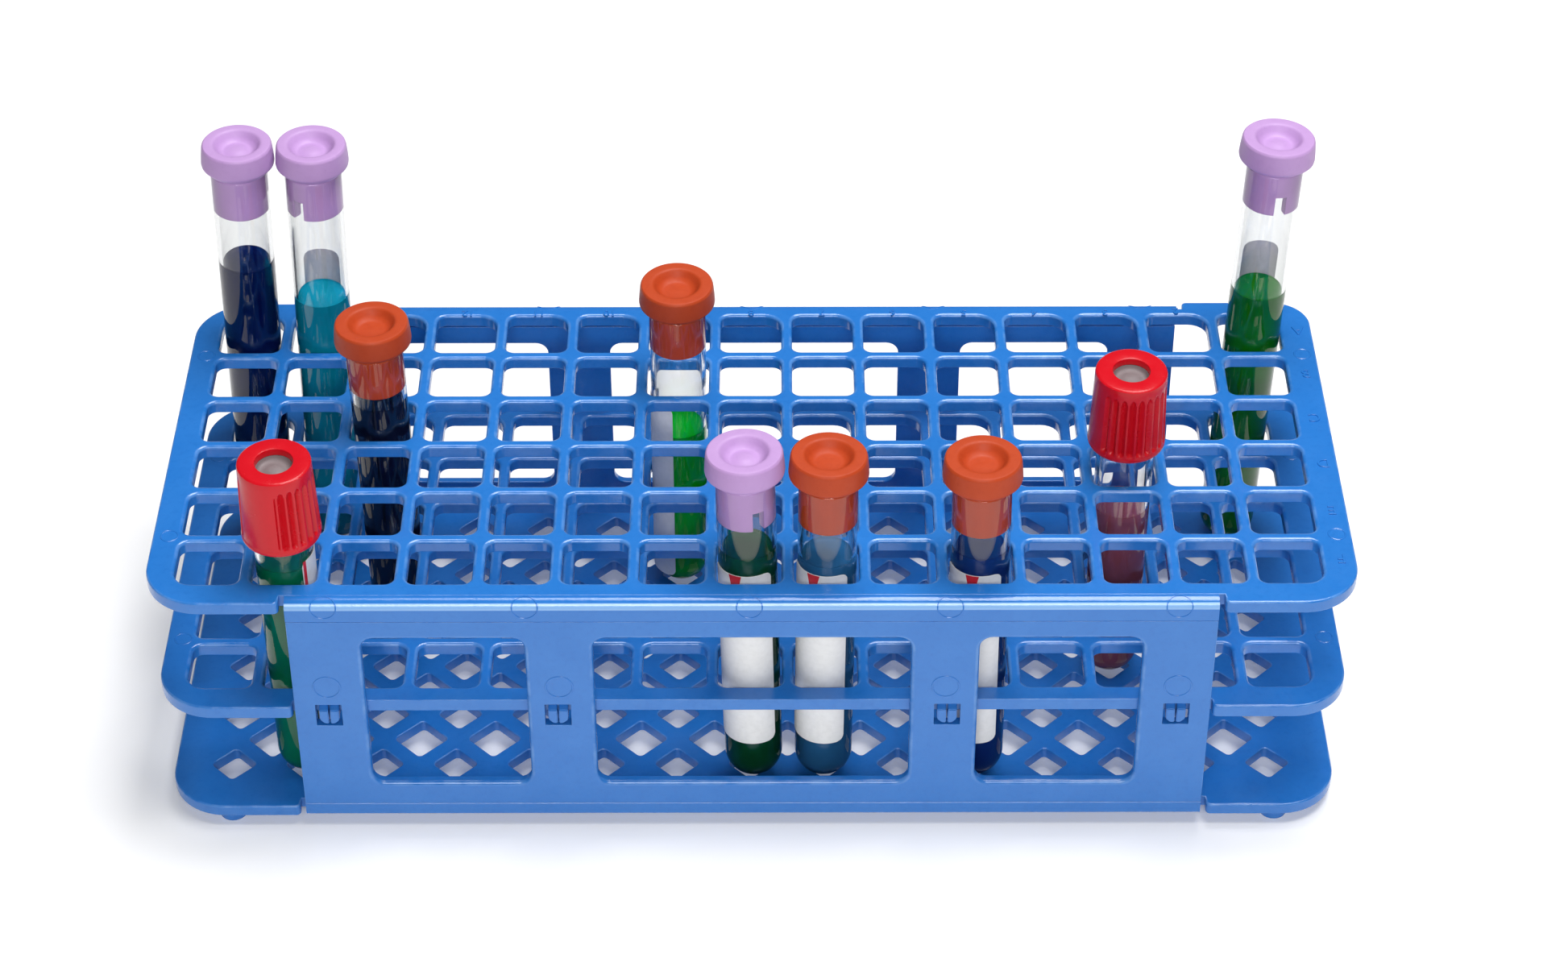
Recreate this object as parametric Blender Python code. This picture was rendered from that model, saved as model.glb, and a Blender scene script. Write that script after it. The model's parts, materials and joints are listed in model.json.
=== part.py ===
"""Snap-together test tube rack: three plates, two side panels on living hinges, ten stoppered tubes.

The rack is 15 wells long and 6 deep. X runs along the rack, +Y is the row A side, +Z is up.
The origin is on the floor, below the middle of the plates.
"""

import math

import bmesh
import bpy
from mathutils import Matrix, Vector

MM = 0.001
GAP = 0.3 * MM

# Outline of the rack
RACK_LENGTH = 246 * MM
RACK_WIDTH = 103 * MM
CORNER_RADIUS = 12 * MM
KEY_CORNER_RADIUS = 8 * MM
ARC_STEPS = 4

# Levels, measured up from the floor
FOOT_HEIGHT = 2.8 * MM
FOOT_RADIUS = 3 * MM
FOOT_CENTRE = (110 * MM, 47.2 * MM)
BOTTOM_THICKNESS = 2.7 * MM
SHELF_TOP = 33.4 * MM
SHELF_THICKNESS = 3 * MM
RACK_TOP = 61.4 * MM
TOP_THICKNESS = 2.9 * MM
BOTTOM_TOP = FOOT_HEIGHT + BOTTOM_THICKNESS

# Wells
COLUMNS = 15
ROWS = "ABCDEF"
PITCH = 15.7 * MM
GRID_CENTRE = (-0.6 * MM, 0.8 * MM)
WELL_WIDTH = 13.3 * MM
WELL_CORNER_CUT = 1.3 * MM
WIDE_CORNER_CUT = 2.6 * MM
SMALL_DRAIN_HALF = 4.3 * MM
LARGE_DRAIN_HALF = 5.5 * MM

# Side panels
PANEL_THICKNESS = 2.2 * MM
PANEL_HALF_LENGTH = 94 * MM
PANEL_BOTTOM = 6.3 * MM
PANEL_TOP = 56.4 * MM
NOTCH_WIDTH = 1.2 * MM
HINGE_DEPTH = 2.6 * MM
HINGE_THICKNESS = 1.5 * MM
TOP_BEND_RADIUS = HINGE_DEPTH
BOTTOM_BEND_RADIUS = 1.5 * MM
WINDOW_BOTTOM = 12.2 * MM
WINDOW_TOP = 51.7 * MM
WINDOW_CORNER_CUT = 1.6 * MM
WINDOWS = ((-79.3 * MM, -46.2 * MM), (-32.3 * MM, 32.3 * MM), (46.2 * MM, 79.3 * MM))
TONGUE_PLACES = (-87.1 * MM, -40 * MM, 40 * MM, 87.1 * MM)
SLOT_WIDTH = 5.4 * MM
SLOT_BOTTOM = 28.4 * MM
SLOT_TOP = 34.1 * MM
PRONG_WIDTH = 2 * MM
PRONG_GAP = 0.7 * MM
PRONG_BOTTOM = 28.7 * MM
PRONG_TOP = 33.2 * MM
PRONG_ROOT = 2 * MM

# Tubes and their stoppers, measured up each tube's own axis from the outside of its round end
SIDES = 12
GLASS_RADIUS = 6.05 * MM
GLASS_WALL = 0.8 * MM
TUBE_BASE = BOTTOM_TOP - 0.3 * MM
LEAN_PIVOT = 46 * MM
PLUG_LENGTH = 10.2 * MM
PLUG_RADIUS = GLASS_RADIUS - GLASS_WALL - GAP
COLLAR_HEIGHT = 6.2 * MM
COLLAR_CHAMFER = 1.4 * MM
COLLAR_TOP_BEVEL = 0.5 * MM
DISH_RADIUS = 5.1 * MM
DISH_DEPTH = 2.1 * MM
DOME_RISE = 0.8 * MM
CAP_HEIGHT = 18.5 * MM
CAP_TAPER = 0.6 * MM
CAP_BEVEL = 0.5 * MM
CAP_LIP_HEIGHT = 1.5 * MM
CAP_ROOF = 1.5 * MM
CAP_OVERLAP = 10.4 * MM
CAP_EYE_RADIUS = 3.7 * MM
EYE_DEPTH = 1.5 * MM
LABEL_GAP = 0.08 * MM
LABEL_THICKNESS = 0.12 * MM

BLUE = (0.08, 0.21, 0.62, 1)
STOPPER_COLOURS = {
    "lavender": (0.50, 0.30, 0.62, 1),
    "orange": (0.62, 0.12, 0.03, 1),
    "red": (0.62, 0.01, 0.02, 1),
}

LIQUIDS = {
    "navy": (0.01, 0.02, 0.12, 1),
    "teal": (0.02, 0.28, 0.32, 1),
    "leaf green": (0.04, 0.22, 0.01, 1),
    "bottle green": (0.01, 0.10, 0.02, 1),
    "black blue": (0.01, 0.01, 0.05, 1),
    "dusky pink": (0.30, 0.12, 0.16, 1),
    "emerald": (0.01, 0.22, 0.06, 1),
    "steel blue": (0.10, 0.20, 0.32, 1),
    "ink blue": (0.01, 0.03, 0.20, 1),
}

# Where a label lies on its tube: first and last step of the circle, then its bottom and top in mm.
# A step is 360 / SIDES degrees, counted from +X.
FRONT_LABEL = (7, 11, 12, 55)
REAR_LABEL = (1, 5, 32, 75.5)
LEFT_LABEL = (5, 9, 4, 52)
RIGHT_LABEL = (10, 14, 10, 52)

# Each tube: well, kind of stopper, its widest radius, length of the glass, level of the liquid, the
# liquid, slope of the axis in X and Y, height of the stopper's collar off the rim, and label.
# Lengths are in mm, and the slopes are as the tubes stand in the loose wells.
TUBES = (
    ("A15", "lavender", 7.75, 100, 76, "navy", (0.020, -0.005), 0.3, None),
    ("A14", "lavender", 7.75, 100, 67, "teal", (0.0215, -0.008), 0.3, REAR_LABEL),
    ("A1", "lavender", 8.1, 100.5, 68, "leaf green", (0.035, 0.011), 0.3, REAR_LABEL),
    ("B9", "orange", 8.1, 75, 43, "bottle green", (0.004, -0.022), 0.3, LEFT_LABEL),
    ("C13", "orange", 8.1, 75.7, 62, "black blue", (-0.015, 0.004), 0.3, None),
    ("D3", "red", 8.1, 73.6, 46, "dusky pink", (0.003, -0.028), 0.3, None),
    ("F14", "red", 8.1, 75, 58, "emerald", (0.001, -0.031), 0.3, RIGHT_LABEL),
    ("F8", "lavender", 8.1, 77.6, 60, "bottle green", (-0.0195, 0.022), 0.3, FRONT_LABEL),
    ("F7", "orange", 8.1, 76.7, 58, "steel blue", (0.009, 0.022), 0.3, FRONT_LABEL),
    ("F5", "orange", 8.1, 75.9, 60, "ink blue", (-0.0075, 0.022), 0.3, FRONT_LABEL),
)


def clear_scene():
    for item in list(bpy.data.objects):
        bpy.data.objects.remove(item, do_unlink=True)


def material(name, colour, roughness, transmission=0.0):
    """A Principled material of that name, made the first time it is asked for."""
    made = bpy.data.materials.get(name)
    if made:
        return made
    made = bpy.data.materials.new(name)
    made.use_nodes = True
    shader = made.node_tree.nodes["Principled BSDF"]
    shader.inputs["Base Color"].default_value = colour
    shader.inputs["Roughness"].default_value = roughness
    shader.inputs["Metallic"].default_value = 0.0
    shader.inputs["Transmission Weight"].default_value = transmission
    made.diffuse_color = colour
    return made


def add_object(name, shape, surface, placed=Matrix(), smooth=False):
    """Turn a bmesh into a named object at placed."""
    bmesh.ops.recalc_face_normals(shape, faces=shape.faces[:])
    mesh = bpy.data.meshes.new(name)
    shape.to_mesh(mesh)
    shape.free()
    if smooth:
        mesh.shade_smooth()
        mesh.set_sharp_from_angle(angle=math.radians(40))
    mesh.materials.append(surface)
    made = bpy.data.objects.new(name, mesh)
    made.matrix_world = placed
    bpy.context.scene.collection.objects.link(made)
    return made


def well_centre(column, row):
    """Centre of a well, from its column counted from the left and its row from the rear, both from 0."""
    x = GRID_CENTRE[0] + (column - (COLUMNS - 1) / 2) * PITCH
    y = GRID_CENTRE[1] + ((len(ROWS) - 1) / 2 - row) * PITCH
    return x, y


def cut_corner_loop(left, right, low, high, cuts):
    """A rectangle with cut corners, each cut given from the low left corner, anticlockwise."""
    a, b, c, d = cuts
    return [
        (left + a, low), (right - b, low), (right, low + b), (right, high - c),
        (right - c, high), (left + d, high), (left, high - d), (left, low + a),
    ]


def well_loop(column, row):
    """Outline of one well. The wells on the plate's corners and along row A have one wider corner."""
    x, y = well_centre(column, row)
    half = WELL_WIDTH / 2
    cuts = [WELL_CORNER_CUT] * 4
    last_column, last_row = COLUMNS - 1, len(ROWS) - 1
    if row == last_row and column == 0:
        cuts[0] = WIDE_CORNER_CUT
    if row == last_row and column == last_column:
        cuts[1] = WIDE_CORNER_CUT
    if row == 0:
        cuts[2] = WIDE_CORNER_CUT
    if row == 0 and column == 0:
        cuts[3] = WIDE_CORNER_CUT
    return cut_corner_loop(x - half, x + half, y - half, y + half, cuts)


def all_wells():
    return [well_loop(column, row) for row in range(len(ROWS)) for column in range(COLUMNS)]


def drain_loops():
    """Diamond drain holes: a small one below each well, and a large one between each four wells."""
    places = [
        (*well_centre(column, row), SMALL_DRAIN_HALF)
        for row in range(len(ROWS))
        for column in range(COLUMNS)
    ]
    places += [
        (*well_centre(column + 0.5, row + 0.5), LARGE_DRAIN_HALF)
        for row in range(len(ROWS) - 1)
        for column in range(COLUMNS - 1)
    ]
    return [[(x - h, y), (x, y - h), (x + h, y), (x, y + h)] for x, y, h in places]


def arc(centre, radius, start, end, steps=ARC_STEPS):
    """Points along an arc, with both ends, for angles in degrees."""
    turns = [math.radians(start + (end - start) * i / steps) for i in range(steps + 1)]
    return [(centre[0] + radius * math.cos(t), centre[1] + radius * math.sin(t)) for t in turns]


def plate_outline(recess_half, recess_depth):
    """Rounded plate with a recess for a side panel in its front and rear edges."""
    x, y = RACK_LENGTH / 2, RACK_WIDTH / 2
    corners = (
        (1, -1, 270, CORNER_RADIUS),
        (1, 1, 0, KEY_CORNER_RADIUS),
        (-1, 1, 90, CORNER_RADIUS),
        (-1, -1, 180, CORNER_RADIUS),
    )
    front_recess = [
        (-recess_half, -y), (-recess_half, -y + recess_depth),
        (recess_half, -y + recess_depth), (recess_half, -y),
    ]
    rounded = [
        arc((sx * (x - radius), sy * (y - radius)), radius, start, start + 90)
        for sx, sy, start, radius in corners
    ]
    rear_recess = [(-px, -py) for px, py in front_recess]
    return front_recess + rounded[0] + rounded[1] + rear_recess + rounded[2] + rounded[3]


def flat_body(outline, holes, thickness):
    """A flat plate in XY, from z = 0 up to its thickness, with holes through it."""
    shape = bmesh.new()
    for loop in [outline, *holes]:
        points = [shape.verts.new((x, y, 0)) for x, y in loop]
        for first, second in zip(points, points[1:] + points[:1]):
            shape.edges.new((first, second))
    bmesh.ops.triangle_fill(shape, edges=shape.edges[:], use_beauty=True)
    raised = bmesh.ops.extrude_face_region(shape, geom=shape.faces[:], use_keep_orig=True)["geom"]
    moved = [item for item in raised if isinstance(item, bmesh.types.BMVert)]
    bmesh.ops.translate(shape, verts=moved, vec=(0, 0, thickness))
    return shape


def turned(profile):
    """A solid turned about Z from (radius, height) points that start and end on the axis."""
    shape = bmesh.new()
    rings = []
    for radius, height in profile:
        if radius == 0:
            rings.append([shape.verts.new((0, 0, height))])
            continue
        turns = [2 * math.pi * i / SIDES for i in range(SIDES)]
        ring = [shape.verts.new((radius * math.cos(t), radius * math.sin(t), height)) for t in turns]
        rings.append(ring)
    for low, high in zip(rings, rings[1:]):
        for i in range(SIDES):
            j = (i + 1) % SIDES
            corners = [low[i % len(low)], low[j % len(low)], high[j % len(high)], high[i % len(high)]]
            shape.faces.new(list(dict.fromkeys(corners)))
    return shape


def join(target, name, shape):
    """Unite a hidden helper shape with target."""
    helper = add_object(name, shape, target.data.materials[0])
    helper.hide_render = True
    helper.display_type = "WIRE"
    union = target.modifiers.new(name, "BOOLEAN")
    union.operation = "UNION"
    union.solver = "EXACT"
    union.object = helper


def add_block(shape, low, high):
    """Add a box between two opposite corners to a bmesh."""
    low, high = Vector(low), Vector(high)
    size = Matrix.Diagonal((*(high - low), 1))
    bmesh.ops.create_cube(shape, size=1, matrix=Matrix.Translation((low + high) / 2) @ size)


def make_top_plate(plastic):
    recess = PANEL_HALF_LENGTH + NOTCH_WIDTH
    shape = flat_body(plate_outline(recess, HINGE_DEPTH + GAP), all_wells(), TOP_THICKNESS)
    return add_object("top_plate", shape, plastic, Matrix.Translation((0, 0, RACK_TOP - TOP_THICKNESS)))


def make_middle_shelf(plastic):
    """The shelf, with a split snap tongue for each slot in the two panels."""
    recess = PANEL_HALF_LENGTH + NOTCH_WIDTH / 2
    shape = flat_body(plate_outline(recess, PANEL_THICKNESS + GAP), all_wells(), SHELF_THICKNESS)
    raised = Matrix.Translation((0, 0, SHELF_TOP - SHELF_THICKNESS))
    shelf = add_object("middle_shelf", shape, plastic, raised)
    prongs = bmesh.new()
    inner, outer = RACK_WIDTH / 2 - PANEL_THICKNESS - PRONG_ROOT, RACK_WIDTH / 2 - GAP
    for x in TONGUE_PLACES:
        for left in (x - PRONG_GAP / 2 - PRONG_WIDTH, x + PRONG_GAP / 2):
            for near, far in ((-outer, -inner), (inner, outer)):
                add_block(prongs, (left, near, PRONG_BOTTOM), (left + PRONG_WIDTH, far, PRONG_TOP))
    join(shelf, "snap_tongues", prongs)
    return shelf


def make_bottom_plate(plastic):
    """The base plate with its drain holes, standing on four moulded feet."""
    recess = PANEL_HALF_LENGTH + NOTCH_WIDTH
    shape = flat_body(plate_outline(recess, HINGE_DEPTH + GAP), drain_loops(), BOTTOM_THICKNESS)
    plate = add_object("bottom_plate", shape, plastic, Matrix.Translation((0, 0, FOOT_HEIGHT)))
    feet = bmesh.new()
    depth = FOOT_HEIGHT + BOTTOM_THICKNESS / 2
    for x in (-FOOT_CENTRE[0], FOOT_CENTRE[0]):
        for y in (-FOOT_CENTRE[1], FOOT_CENTRE[1]):
            bmesh.ops.create_cone(
                feet, cap_ends=True, segments=SIDES, depth=depth,
                radius1=FOOT_RADIUS, radius2=FOOT_RADIUS, matrix=Matrix.Translation((x, y, depth / 2)),
            )
    join(plate, "moulded_feet", feet)
    return plate


def make_panel(name, side, plastic):
    """A side panel with three windows and four snap slots. side is -1 at the front and 1 at the rear."""
    half = PANEL_HALF_LENGTH
    low, high = PANEL_BOTTOM + GAP, PANEL_TOP - GAP
    outline = [(-half, low), (half, low), (half, high), (-half, high)]
    holes = [
        cut_corner_loop(left, right, WINDOW_BOTTOM, WINDOW_TOP, [WINDOW_CORNER_CUT] * 4)
        for left, right in WINDOWS
    ]
    for x in TONGUE_PLACES:
        left, right = x - SLOT_WIDTH / 2, x + SLOT_WIDTH / 2
        holes.append([(left, SLOT_BOTTOM), (right, SLOT_BOTTOM), (right, SLOT_TOP), (left, SLOT_TOP)])
    outer_face = RACK_WIDTH / 2 * side
    rear_face = outer_face if side > 0 else outer_face + PANEL_THICKNESS
    upright = Matrix.Translation((0, rear_face, 0)) @ Matrix.Rotation(math.pi / 2, 4, "X")
    return add_object(name, flat_body(outline, holes, PANEL_THICKNESS), plastic, upright)


def hinge_profile(plate_face, panel_edge, bend_radius):
    """Cross-section of a living hinge, as (distance out from the rack's middle, height) points.

    plate_face is the height of the plate's outside face, and panel_edge is where the panel starts.
    """
    up = 1 if plate_face > panel_edge else -1
    outer = RACK_WIDTH / 2
    inner = outer - HINGE_DEPTH
    back = outer - HINGE_THICKNESS
    bend = arc((outer - bend_radius, plate_face - up * bend_radius), bend_radius, 90 * up, 0)
    profile = bend if bend_radius == HINGE_DEPTH else [(inner, plate_face), *bend]
    elbow = plate_face - up * HINGE_THICKNESS
    profile += [(outer, panel_edge), (back, panel_edge)]
    return profile + [(back, elbow - up * GAP), (back - GAP, elbow), (inner, elbow)]


def make_hinge(name, side, profile, plastic):
    """The thin strip that joins a plate to a panel, bent through a right angle along the rack's edge."""
    along_x = Matrix(((0, 0, 1, -PANEL_HALF_LENGTH), (side, 0, 0, 0), (0, 1, 0, 0), (0, 0, 0, 1)))
    shape = flat_body(profile, [], 2 * PANEL_HALF_LENGTH)
    bmesh.ops.transform(shape, matrix=along_x, verts=shape.verts[:])
    return add_object(name, shape, plastic)


def tube_frame(well, slope):
    """Where a tube's own frame sits: the outside of its round end, with Z up its leaning axis."""
    row, column = ROWS.index(well[0]), COLUMNS - int(well[1:])
    x, y = well_centre(column, row)
    axis = Vector((*slope, 1))
    base = Vector((x, y, LEAN_PIVOT)) + axis * (TUBE_BASE - LEAN_PIVOT)
    turn = Vector((0, 0, 1)).rotation_difference(axis)
    return Matrix.Translation(base) @ turn.to_matrix().to_4x4()


def round_end(radius, bottom):
    """Profile of a half-round end from the axis up to its full radius."""
    rise = [math.radians(angle) for angle in (30, 60, 90)]
    return [(0, bottom)] + [(radius * math.sin(a), bottom + radius * (1 - math.cos(a))) for a in rise]


def make_glass(name, length, placed, glass):
    outside = round_end(GLASS_RADIUS, 0) + [(GLASS_RADIUS, length)]
    bore = GLASS_RADIUS - GLASS_WALL
    inside = [(bore, length), *reversed(round_end(bore, GLASS_WALL))]
    return add_object(name, turned(outside + inside), glass, placed, smooth=True)


def make_liquid(name, level, dye, placed):
    radius = GLASS_RADIUS - GLASS_WALL - GAP
    profile = round_end(radius, GLASS_WALL + GAP) + [(radius, level), (0, level)]
    return add_object(name, turned(profile), dye, placed, smooth=True)


def make_rubber_stopper(name, rim, radius, kind, placed):
    """A plug inside the glass, under a collar whose top is dished round a low dome."""
    top = rim + COLLAR_HEIGHT
    dish = top - DISH_DEPTH
    profile = [
        (0, rim - PLUG_LENGTH),
        (PLUG_RADIUS, rim - PLUG_LENGTH),
        (PLUG_RADIUS, rim + GAP),
        (radius - COLLAR_CHAMFER, rim + GAP),
        (radius, rim + COLLAR_CHAMFER),
        (radius, top - COLLAR_TOP_BEVEL),
        (radius - COLLAR_TOP_BEVEL, top),
        (DISH_RADIUS, top),
        (DISH_RADIUS * 0.7, dish),
        (0, dish + DOME_RISE),
    ]
    rubber = material(f"{kind} rubber", STOPPER_COLOURS[kind], 0.55)
    return add_object(name, turned(profile), rubber, placed, smooth=True)


def make_cap(name, rim, radius, placed):
    """A tall plastic cap that comes down outside the glass, with an eye in its top."""
    bottom = rim - CAP_OVERLAP
    top = bottom + CAP_HEIGHT
    skirt = GLASS_RADIUS + GAP
    profile = [
        (skirt, bottom),
        (radius - CAP_BEVEL, bottom),
        (radius, bottom + CAP_LIP_HEIGHT),
        (radius - CAP_TAPER, top - CAP_BEVEL),
        (radius - CAP_TAPER - CAP_BEVEL, top),
        (CAP_EYE_RADIUS, top),
        (CAP_EYE_RADIUS, top - CAP_ROOF),
        (skirt, top - CAP_ROOF),
        (skirt, bottom),
    ]
    plastic = material("red cap plastic", STOPPER_COLOURS["red"], 0.35)
    return add_object(name, turned_ring(profile), plastic, placed, smooth=True)


def turned_ring(profile):
    """A ring turned about Z from a closed (radius, height) outline that stays off the axis."""
    shape = turned(profile)
    bmesh.ops.remove_doubles(shape, verts=shape.verts[:], dist=0.001 * MM)
    return shape


def make_cap_plug(name, rim, placed):
    """The grey rubber plug that the cap carries inside the glass, seen through the cap's eye."""
    ceiling = rim - CAP_OVERLAP + CAP_HEIGHT - CAP_ROOF
    flange = GLASS_RADIUS - GAP
    profile = [
        (0, rim - PLUG_LENGTH),
        (PLUG_RADIUS, rim - PLUG_LENGTH),
        (PLUG_RADIUS, rim + GAP),
        (flange, rim + GAP),
        (flange, ceiling - GAP),
        (CAP_EYE_RADIUS, ceiling - GAP),
        (0, ceiling - EYE_DEPTH),
    ]
    rubber = material("grey rubber", (0.24, 0.24, 0.24, 1), 0.5)
    return add_object(name, turned(profile), rubber, placed, smooth=True)


def make_label(name, first, last, bottom, top, placed):
    """A paper label wrapped round part of the glass, from one step of the circle to another."""
    shape = bmesh.new()
    near = GLASS_RADIUS + LABEL_GAP
    ribs = []
    for step in range(first, last + 1):
        turn = 2 * math.pi * step / SIDES
        ribs.append([
            shape.verts.new((radius * math.cos(turn), radius * math.sin(turn), height))
            for radius, height in (
                (near, bottom), (near + LABEL_THICKNESS, bottom), (near + LABEL_THICKNESS, top), (near, top),
            )
        ])
    shape.faces.new(ribs[0])
    shape.faces.new(ribs[-1])
    for here, there in zip(ribs, ribs[1:]):
        for i in range(4):
            j = (i + 1) % 4
            shape.faces.new((here[i], here[j], there[j], there[i]))
    paper = material("label paper", (0.85, 0.85, 0.84, 1), 0.6)
    return add_object(name, shape, paper, placed)


def make_tube(well, kind, radius, length, level, liquid, slope, stand_off, label):
    placed = tube_frame(well, slope)
    glass = material("clear glass", (0.95, 0.97, 0.97, 1), 0.05, transmission=1.0)
    make_glass(f"tube_{well}_glass", length * MM, placed, glass)
    make_liquid(f"tube_{well}_liquid", level * MM, material(liquid, LIQUIDS[liquid], 0.1), placed)
    rim = (length + stand_off) * MM
    if kind == "red":
        make_cap(f"tube_{well}_cap", rim, radius * MM, placed)
        make_cap_plug(f"tube_{well}_plug", rim, placed)
    else:
        make_rubber_stopper(f"tube_{well}_stopper", rim, radius * MM, kind, placed)
    if label:
        first, last, bottom, top = label
        make_label(f"tube_{well}_label", first, last, bottom * MM, top * MM, placed)


def main():
    clear_scene()
    plastic = material("blue polypropylene", BLUE, 0.45)
    make_top_plate(plastic)
    make_middle_shelf(plastic)
    make_bottom_plate(plastic)
    top_bend = hinge_profile(RACK_TOP, PANEL_TOP, TOP_BEND_RADIUS)
    bottom_bend = hinge_profile(FOOT_HEIGHT, PANEL_BOTTOM, BOTTOM_BEND_RADIUS)
    for name, side in (("front", -1), ("rear", 1)):
        make_panel(f"{name}_panel", side, plastic)
        make_hinge(f"{name}_top_hinge", side, top_bend, plastic)
        make_hinge(f"{name}_bottom_hinge", side, bottom_bend, plastic)
    for tube in TUBES:
        make_tube(*tube)


main()
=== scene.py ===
"""Looks of the test tube rack: finer plates, panels, tubes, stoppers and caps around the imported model."""

import json
import math

import bmesh
import bpy
from mathutils import Matrix, Vector


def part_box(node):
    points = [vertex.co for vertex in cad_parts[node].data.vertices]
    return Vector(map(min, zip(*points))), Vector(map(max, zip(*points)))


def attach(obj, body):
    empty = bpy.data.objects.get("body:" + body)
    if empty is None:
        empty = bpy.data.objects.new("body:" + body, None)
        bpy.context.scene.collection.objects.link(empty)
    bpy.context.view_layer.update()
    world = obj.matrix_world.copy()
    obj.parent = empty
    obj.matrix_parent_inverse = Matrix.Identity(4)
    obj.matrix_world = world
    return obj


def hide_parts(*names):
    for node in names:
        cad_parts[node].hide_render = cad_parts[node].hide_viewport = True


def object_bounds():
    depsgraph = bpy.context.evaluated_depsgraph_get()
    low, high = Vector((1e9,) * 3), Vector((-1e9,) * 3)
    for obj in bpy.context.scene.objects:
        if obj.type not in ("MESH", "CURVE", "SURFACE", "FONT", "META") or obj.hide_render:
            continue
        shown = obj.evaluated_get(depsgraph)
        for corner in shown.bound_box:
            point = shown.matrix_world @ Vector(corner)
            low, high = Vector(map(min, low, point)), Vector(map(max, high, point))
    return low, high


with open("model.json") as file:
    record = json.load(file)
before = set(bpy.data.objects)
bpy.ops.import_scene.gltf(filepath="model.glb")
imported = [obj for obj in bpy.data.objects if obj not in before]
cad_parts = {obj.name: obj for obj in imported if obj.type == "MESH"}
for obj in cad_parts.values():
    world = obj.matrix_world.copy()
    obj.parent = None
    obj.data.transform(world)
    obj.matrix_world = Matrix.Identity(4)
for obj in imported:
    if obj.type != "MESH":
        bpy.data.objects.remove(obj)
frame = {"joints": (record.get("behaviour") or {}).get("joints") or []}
CAD_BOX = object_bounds()

MM = 0.001

# Wells and drain holes
COLUMNS = 15
ROWS = "ABCDEF"
PITCH = 15.7 * MM
GRID_CENTRE = (-0.6 * MM, 0.8 * MM)
WELL_HALF = 6.65 * MM
WELL_CORNER = 2 * MM
WIDE_CORNER = 3.9 * MM
SMALL_DRAIN = 4.8 * MM
LARGE_DRAIN = 5.75 * MM
DRAIN_CORNER = 0.95 * MM

# Plates
CORNER_RADIUS = 12 * MM
KEY_CORNER_RADIUS = 8 * MM
NOTCH = 1.2 * MM
LIP_CORNER = 1 * MM
HINGE_DEPTH = 2.6 * MM
HINGE_STEP = 1.5 * MM
TOP_BEND = 2.2 * MM
BOTTOM_BEND = 1.1 * MM
# Steps of the top bend's profile that get a painted highlight, a paler blue
BEND_HIGHLIGHT_STEPS = range(11, 19)
BAR_ROUND = 0.75 * MM
LIP_ROUND = 0.45 * MM
SEAM_ROUND = 0.12 * MM
UNDER_ROUND = 0.3 * MM
EDGE_MARGIN = 0.15 * MM
# Painted highlight: how pale rounded edges are where their rounding ends and below it
SLIGHT_EDGE_HIGHLIGHT = 0.12
SHELF_THICKNESS = 3 * MM
SHELF_RECESS = 2.25 * MM
BASE_THICKNESS = 2.7 * MM
DRAIN_ROUND = 0.25 * MM
FOOT_RADIUS = 3 * MM
FOOT_X, FOOT_Y = 110 * MM, 47.2 * MM

# Panels
WINDOWS = ((-79.3 * MM, -46.2 * MM), (-32.3 * MM, 32.3 * MM), (46.2 * MM, 79.3 * MM))
WINDOW_LOW, WINDOW_HIGH = 12.2 * MM, 51.8 * MM
WINDOW_CORNER = 2.7 * MM
SLOT_PLACES = (-87.1 * MM, -40 * MM, 40 * MM, 87.1 * MM)
SLOT_HALF = 2.7 * MM
SLOT_LOW, SLOT_HIGH = 28.4 * MM, 34.1 * MM
PRONG_WIDTH = 1.8 * MM
PRONG_LOW, PRONG_HIGH = 28.7 * MM, 33.2 * MM
PRONG_GAP, PRONG_CUT, PRONG_SLOPE = 0.22 * MM, 1 * MM, 0.9 * MM
WINDOW_ROUND = 0.9 * MM
PIN_RING_PLACES = (-87 * MM, -39.5 * MM, 39.5 * MM, 87 * MM)
BEND_RING_PLACES = (-86.2 * MM, -45.7 * MM, -0.5 * MM, 39.9 * MM, 86 * MM)

# Tubes, measured up each tube's own axis from the outside of its round end
GLASS_RADIUS = 6.05 * MM
BORE = 5.5 * MM
TUBE_BASE = 5.2 * MM
LEAN_PIVOT = 46 * MM
COLLAR_HEIGHT = 6.2 * MM
PLUG_LENGTH = 10.2 * MM
PLUG_RADIUS = BORE - 0.02 * MM
PLUG_NOTCH_WIDTH, PLUG_NOTCH_HEIGHT = 2.4 * MM, 4.6 * MM
CAP_HEIGHT = 18.5 * MM
CAP_OVERLAP = 10.4 * MM
FLUTES = 26
FLUTE_DEPTH = 0.85 * MM
SMOOTH_PANEL_HALF = math.radians(34)
STAND_OFF = 0.3 * MM
SIDES = 64
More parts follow.
